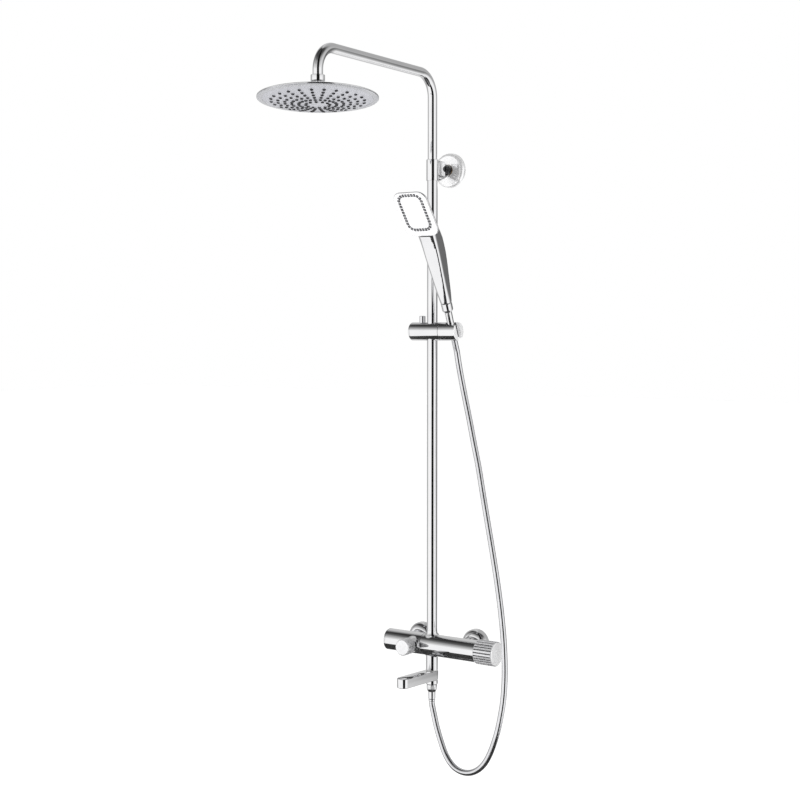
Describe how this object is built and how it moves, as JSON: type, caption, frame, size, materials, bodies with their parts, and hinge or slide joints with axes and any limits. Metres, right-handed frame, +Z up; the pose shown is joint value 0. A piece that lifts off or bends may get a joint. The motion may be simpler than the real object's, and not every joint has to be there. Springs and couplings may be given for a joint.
{
  "type": "rainfall shower column",
  "caption": "Wall-mounted rainfall shower column with bar mixer, bath spout, telescopic riser, round overhead shower, sliding holder, hand shower and hanging hose.",
  "frame": {"origin": "on the finished wall, midway between the two inlet connections of the bar mixer", "axes": "+Z up along the riser, +X along the bar towards the mixing handle, -Y out of the wall towards the user"},
  "size_m": [0.333, 0.654, 1.6107],
  "materials": {
    "chrome": "polished chrome plate on brass or steel",
    "chrome_on_plastic": "chrome-plated moulded plastic",
    "brass": "machined brass",
    "seal_rubber": "black seal rubber",
    "inner_plastic": "white moulded acetal",
    "white_gloss": "glossy white moulding",
    "satin_plate": "satin grey spray plate",
    "nozzle_rubber": "soft black nozzle rubber",
    "dark_plastic": "dark moulded plastic",
    "screw_steel": "dark steel",
    "hose_cover": "silver spiral cover on a rubber hose"
  },
  "bodies": {
    "column": {"mixer_body": "chrome", "diverter_body": "chrome", "bar_end_cap": "chrome", "wall_unions": "chrome", "union_nuts": "chrome", "filter_washers": "seal_rubber", "check_valves": "inner_plastic", "wall_covers": "chrome", "mixing_cartridge": "inner_plastic", "cartridge_ring": "brass", "diverter_cartridge": "inner_plastic", "diverter_ring": "brass", "lower_riser": "chrome", "bracket_sleeve": "chrome", "bracket_base": "brass", "bracket_cover": "chrome", "bracket_set_screw": "screw_steel", "sleeve_guide_ring": "inner_plastic", "outlet_neck": "chrome", "hose_outlet": "chrome", "mixer_seals": "seal_rubber", "spout_washers": "inner_plastic", "lower_hose_washer": "seal_rubber", "lower_hose_nut": "chrome", "lower_hose_ferrule": "chrome", "hose_lower_run": "hose_cover"},
    "telescope": {"telescope_plug": "inner_plastic", "telescope_seals": "seal_rubber"},
    "arm": {"upper_riser": "chrome", "ball_fitting": "chrome"},
    "ball_ring": {"ball_seat": "inner_plastic"},
    "overhead_shower": {"swivel_nut": "chrome", "head_shell": "chrome", "head_gasket": "seal_rubber", "head_plate": "satin_plate", "head_nozzles": "nozzle_rubber"},
    "slide_bush": {"slider_bush": "inner_plastic", "hose_middle_run": "hose_cover"},
    "holder": {"slider_body": "chrome_on_plastic", "slider_end_cap": "chrome_on_plastic", "button_spring": "screw_steel", "lock_shoe": "brass", "cradle_screw": "screw_steel", "cradle_washer": "inner_plastic", "hose_upper_run": "hose_cover"},
    "button": {"lock_button": "chrome_on_plastic"},
    "hand_cradle": {"cradle": "chrome_on_plastic", "cradle_liner": "dark_plastic", "hose_top_run": "hose_cover"},
    "hose_end": {"hose_end_stem": "brass"},
    "hand_shower": {"cone_nut": "chrome", "hand_shell": "chrome_on_plastic", "hand_waterway": "inner_plastic", "hand_plate": "white_gloss", "hand_nozzles": "nozzle_rubber"},
    "diverter": {"diverter_knob": "white_gloss", "diverter_stem": "brass"},
    "mixing_handle": {"mixing_grip": "chrome_on_plastic"},
    "spout": {"spout_body": "chrome", "spout_aerator": "inner_plastic"}
  },
  "joints": [
    {"name": "riser_height", "type": "slide", "parent": "column", "child": "telescope", "axis": [0, 0, 1], "range_m": [-0.1, 0.18]},
    {"name": "arm_swivel", "type": "hinge", "parent": "telescope", "child": "arm", "pos_m": [0, -0.08, 1.2], "axis": [0, 0, 1], "range_deg": [-75, 75]},
    {"name": "head_spin", "type": "hinge", "parent": "arm", "child": "ball_ring", "pos_m": [0, -0.51, 1.224], "axis": [0, 0, 1], "continuous": true},
    {"name": "head_tilt", "type": "hinge", "parent": "ball_ring", "child": "overhead_shower", "pos_m": [0, -0.51, 1.224], "axis": [0.829, 0.5592, 0], "range_deg": [-10.6, 19.4]},
    {"name": "holder_height", "type": "slide", "parent": "column", "child": "slide_bush", "axis": [0, 0, 1], "range_m": [-0.4, 0.15], "deforming": ["hose_lower_run"]},
    {"name": "holder_turn", "type": "hinge", "parent": "slide_bush", "child": "holder", "pos_m": [0, -0.08, 0.729], "axis": [0, 0, 1], "range_deg": [-30, 30], "deforming": ["hose_middle_run"]},
    {"name": "lock_press", "type": "slide", "parent": "holder", "child": "button", "axis": [0, 0, -1], "range_m": [0, 0.004], "stiffness_N_per_m": 500, "springref_m": -0.002, "deforming": ["button_spring"]},
    {"name": "cradle_tilt", "type": "hinge", "parent": "holder", "child": "hand_cradle", "pos_m": [0.03, -0.08, 0.729], "axis": [1, 0, 0], "range_deg": [-15, 12], "deforming": ["hose_upper_run"]},
    {"name": "hand_lift", "type": "slide", "parent": "hand_cradle", "child": "hose_end", "axis": [0, -0.3827, 0.9239], "range_m": [0, 0.04], "deforming": ["hose_top_run"]},
    {"name": "hand_turn", "type": "hinge", "parent": "hose_end", "child": "hand_shower", "pos_m": [0.055, -0.08, 0.729], "axis": [0, -0.3827, 0.9239], "range_deg": [-45, 90]},
    {"name": "diverter_turn", "type": "hinge", "parent": "column", "child": "diverter", "pos_m": [-0.04, -0.13, 0], "axis": [0, -1, 0], "range_deg": [-60, 60]},
    {"name": "mixing_turn", "type": "hinge", "parent": "column", "child": "mixing_handle", "pos_m": [0.15, -0.08, 0], "axis": [1, 0, 0], "range_deg": [0, 110]},
    {"name": "spout_swivel", "type": "hinge", "parent": "column", "child": "spout", "pos_m": [0, -0.08, -0.07], "axis": [0, 0, 1], "range_deg": [-84, 96]}
  ]
}
